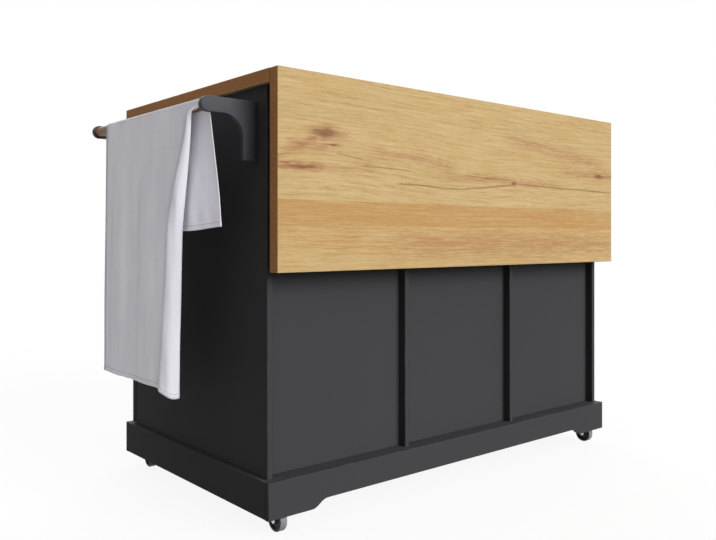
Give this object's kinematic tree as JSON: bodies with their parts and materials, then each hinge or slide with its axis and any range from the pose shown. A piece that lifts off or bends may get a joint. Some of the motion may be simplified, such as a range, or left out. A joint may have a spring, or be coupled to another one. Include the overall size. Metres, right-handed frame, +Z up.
{
  "type": "drop leaf kitchen island",
  "caption": "Painted kitchen cabinet on swivel casters with an oak worktop, a hinged drop leaf at the back, doors, drawers and an end towel bar.",
  "frame": {"origin": "centre of the whole object's box, on the floor", "axes": "+X along the worktop towards the towel bar, +Y towards the drop leaf at the back, +Z up"},
  "size_m": [1.263, 0.6826, 0.905],
  "materials": {
    "oak": "light oak with a satin lacquer, fine grain along the length",
    "bar_wood": "brown lacquered wood",
    "painted_board": "fibreboard in satin charcoal paint",
    "plain_board": "pale plywood with a matt lacquer",
    "zinc": "bright zinc plate",
    "steel": "plain steel",
    "bracket_metal": "graphite powder coat",
    "wheel_rubber": "black wheel with a grey tread",
    "cotton": "white woven cotton"
  },
  "bodies": {
    "cabinet": {"back_panel_left": "painted_board", "back_panel_middle": "painted_board", "back_panel_right": "painted_board", "caster_housing_back_left": "zinc", "caster_housing_back_right": "zinc", "caster_housing_front_left": "zinc", "caster_housing_front_right": "zinc", "drawer_runners_left": "zinc", "drawer_runners_right": "zinc", "floor_board": "painted_board", "leaf_hinge_arm_left": "steel", "leaf_hinge_arm_right": "steel", "partition_left": "painted_board", "partition_right": "painted_board", "plinth_back": "painted_board", "plinth_front": "painted_board", "plinth_left_end": "painted_board", "plinth_right_end": "painted_board", "shelf_left": "plain_board", "shelf_right": "plain_board", "side_panel_left": "painted_board", "side_panel_right": "painted_board", "stay_bracket_left": "steel", "stay_bracket_right": "steel", "towel": "cotton", "towel_bar": "bar_wood", "towel_bracket_far": "bracket_metal", "towel_bracket_near": "bracket_metal", "worktop": "oak"},
    "leaf": {"drop_leaf": "oak", "leaf_hinge_pin_left": "zinc", "leaf_hinge_pin_right": "zinc"},
    "left_stay": {"stay_left": "steel"},
    "right_stay": {"stay_right": "steel"},
    "left_door": {"door_left": "painted_board", "door_knob_left": "bracket_metal", "door_pivot_left_bottom": "zinc", "door_pivot_left_top": "zinc"},
    "right_door": {"door_right": "painted_board", "door_knob_right": "bracket_metal", "door_pivot_right_bottom": "zinc", "door_pivot_right_top": "zinc"},
    "top_drawer": {"drawer_front_top": "painted_board", "drawer_box_top": "plain_board", "drawer_knob_top": "bracket_metal"},
    "middle_drawer": {"drawer_front_middle": "painted_board", "drawer_box_middle": "plain_board", "drawer_knob_middle": "bracket_metal"},
    "bottom_drawer": {"drawer_front_bottom": "painted_board", "drawer_box_bottom": "plain_board", "drawer_knob_bottom": "bracket_metal"},
    "back_left_caster": {"caster_fork_back_left": "zinc"},
    "back_left_wheel": {"caster_wheel_back_left": "wheel_rubber"},
    "back_right_caster": {"caster_fork_back_right": "zinc"},
    "back_right_wheel": {"caster_wheel_back_right": "wheel_rubber"},
    "front_left_caster": {"caster_fork_front_left": "zinc"},
    "front_left_wheel": {"caster_wheel_front_left": "wheel_rubber"},
    "front_right_caster": {"caster_fork_front_right": "zinc"},
    "front_right_wheel": {"caster_wheel_front_right": "wheel_rubber"}
  },
  "joints": [
    {"name": "leaf_hinge", "type": "hinge", "parent": "cabinet", "child": "leaf", "pos_m": [-0.06154, 0.328, 0.89175], "axis": [1, 0, 0], "range_deg": [0, 90]},
    {"name": "left_stay_pivot", "type": "hinge", "parent": "cabinet", "child": "left_stay", "pos_m": [-0.24604, 0.3005, 0.78175], "axis": [1, 0, 0], "range_deg": [0, 121.1]},
    {"name": "right_stay_pivot", "type": "hinge", "parent": "cabinet", "child": "right_stay", "pos_m": [0.12296, 0.3005, 0.78175], "axis": [1, 0, 0], "range_deg": [0, 121.1]},
    {"name": "left_door_hinge", "type": "hinge", "parent": "cabinet", "child": "left_door", "pos_m": [-0.61354, -0.31525, 0.494], "axis": [0, 0, -1], "range_deg": [0, 100]},
    {"name": "right_door_hinge", "type": "hinge", "parent": "cabinet", "child": "right_door", "pos_m": [0.49046, -0.31525, 0.494], "axis": [0, 0, 1], "range_deg": [0, 100]},
    {"name": "top_drawer_slide", "type": "slide", "parent": "cabinet", "child": "top_drawer", "axis": [0, -1, 0], "range_m": [0, 0.4]},
    {"name": "middle_drawer_slide", "type": "slide", "parent": "cabinet", "child": "middle_drawer", "axis": [0, -1, 0], "range_m": [0, 0.4]},
    {"name": "bottom_drawer_slide", "type": "slide", "parent": "cabinet", "child": "bottom_drawer", "axis": [0, -1, 0], "range_m": [0, 0.4]},
    {"name": "back_left_swivel", "type": "hinge", "parent": "cabinet", "child": "back_left_caster", "pos_m": [-0.58854, 0.26875, 0.06], "axis": [0, 0, 1], "continuous": true},
    {"name": "back_left_wheel_spin", "type": "hinge", "parent": "back_left_caster", "child": "back_left_wheel", "pos_m": [-0.58854, 0.27975, 0.023], "axis": [1, 0, 0], "continuous": true},
    {"name": "back_right_swivel", "type": "hinge", "parent": "cabinet", "child": "back_right_caster", "pos_m": [0.46546, 0.26875, 0.06], "axis": [0, 0, 1], "continuous": true},
    {"name": "back_right_wheel_spin", "type": "hinge", "parent": "back_right_caster", "child": "back_right_wheel", "pos_m": [0.46546, 0.27975, 0.023], "axis": [1, 0, 0], "continuous": true},
    {"name": "front_left_swivel", "type": "hinge", "parent": "cabinet", "child": "front_left_caster", "pos_m": [-0.58854, -0.29825, 0.06], "axis": [0, 0, 1], "continuous": true},
    {"name": "front_left_wheel_spin", "type": "hinge", "parent": "front_left_caster", "child": "front_left_wheel", "pos_m": [-0.58854, -0.28725, 0.023], "axis": [1, 0, 0], "continuous": true},
    {"name": "front_right_swivel", "type": "hinge", "parent": "cabinet", "child": "front_right_caster", "pos_m": [0.46546, -0.29825, 0.06], "axis": [0, 0, 1], "continuous": true},
    {"name": "front_right_wheel_spin", "type": "hinge", "parent": "front_right_caster", "child": "front_right_wheel", "pos_m": [0.46546, -0.28725, 0.023], "axis": [1, 0, 0], "continuous": true}
  ],
  "couplings": [
    {"joint": "left_stay_pivot", "follows": "leaf_hinge", "ratio": 1.3454},
    {"joint": "right_stay_pivot", "follows": "leaf_hinge", "ratio": 1.3454}
  ]
}
